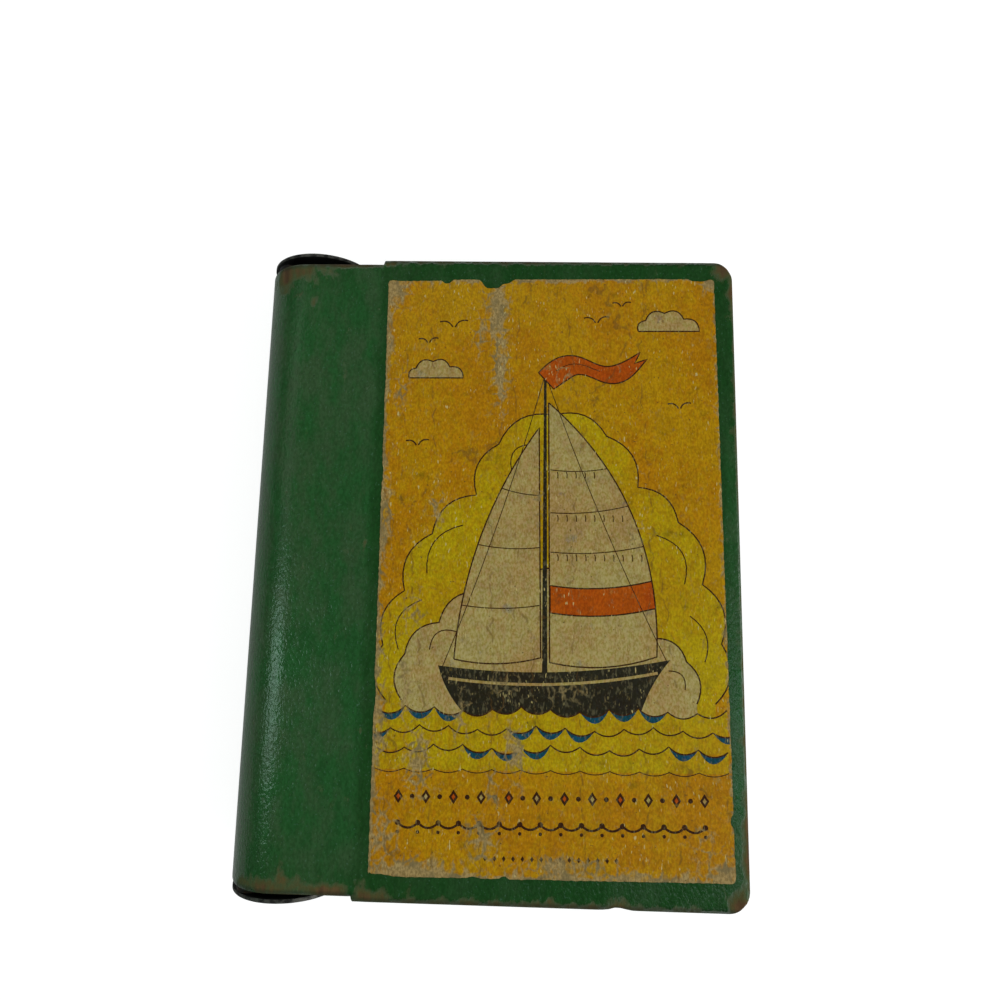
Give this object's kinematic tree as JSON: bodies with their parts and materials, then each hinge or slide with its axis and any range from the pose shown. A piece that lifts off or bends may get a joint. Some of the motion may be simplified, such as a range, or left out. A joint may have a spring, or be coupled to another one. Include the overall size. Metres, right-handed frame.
{
  "type": "wooden block book",
  "caption": "Old toy book of two thick green painted boards with a paper cover label, hinged at the spine by a steel disc across each end.",
  "frame": {"origin": "middle of the book's outline on the face that it lies on", "axes": "+X from the spine to the fore edge, +Y along the spine to the head of the book, +Z out of the front cover"},
  "size_m": [0.1142, 0.1502, 0.0256],
  "materials": {
    "green_enamel": "worn gloss enamel on hardwood",
    "printed_paper": "varnished printed paper, glued down, cracked and rubbed",
    "black_sheet_steel": "black paint on punched sheet steel, worn at the rim",
    "dark_steel_nail": "dull dark steel",
    "bare_steel_washer": "plain steel, tarnished"
  },
  "bodies": {
    "back": {"back_board": "green_enamel", "back_nail_top": "dark_steel_nail", "back_nail_bottom": "dark_steel_nail", "back_washer_top": "bare_steel_washer", "back_washer_bottom": "bare_steel_washer"},
    "discs": {"top_disc": "black_sheet_steel", "bottom_disc": "black_sheet_steel"},
    "front": {"front_board": "green_enamel", "cover_label": "printed_paper", "front_nail_top": "dark_steel_nail", "front_nail_bottom": "dark_steel_nail", "front_washer_top": "bare_steel_washer", "front_washer_bottom": "bare_steel_washer"}
  },
  "joints": [
    {"name": "disc_swing", "type": "hinge", "parent": "back", "child": "discs", "pos_m": [-0.05087, 0, 0.00628], "axis": [0, -1, 0], "range_deg": [0, 180]},
    {"name": "cover_swing", "type": "hinge", "parent": "discs", "child": "front", "pos_m": [-0.05087, 0, 0.01912], "axis": [0, -1, 0], "range_deg": [0, 180]}
  ]
}
